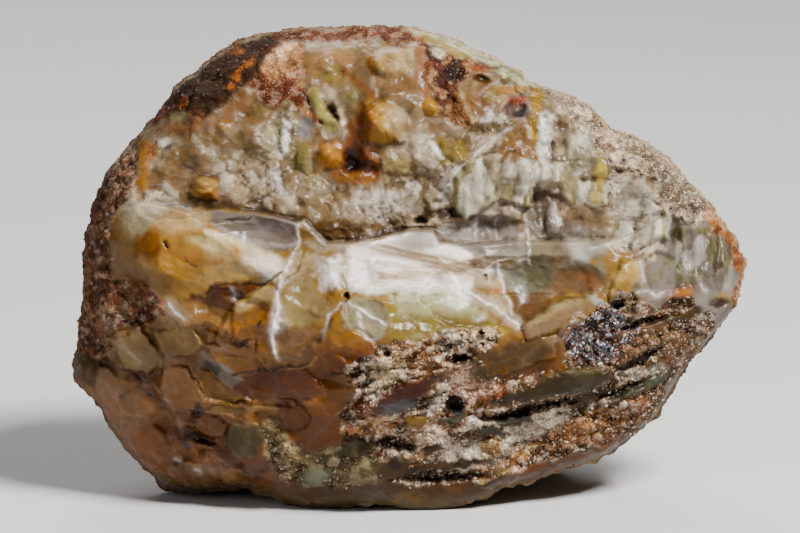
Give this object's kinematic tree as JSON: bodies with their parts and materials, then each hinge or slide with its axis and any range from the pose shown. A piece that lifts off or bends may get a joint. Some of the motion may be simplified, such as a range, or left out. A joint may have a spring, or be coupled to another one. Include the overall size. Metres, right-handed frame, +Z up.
{
  "type": "plume agate",
  "caption": "Rough lump of plume agate with a weathered rind, broken open on one side to show milky, amber and green chalcedony over a rubbly base.",
  "frame": {"origin": "a point on the flat broken facet that the stone rests on, below the middle of the stone", "axes": "+X along the stone's length, to the right as its broken face is looked at; +Y away from the broken face, to the back; +Z up"},
  "size_m": [0.0961, 0.0647, 0.0662],
  "materials": {
    "agate": "glassy on the broken face, dull and grainy on the rind"
  },
  "bodies": {
    "root": {"agate": "agate"}
  },
  "joints": []
}
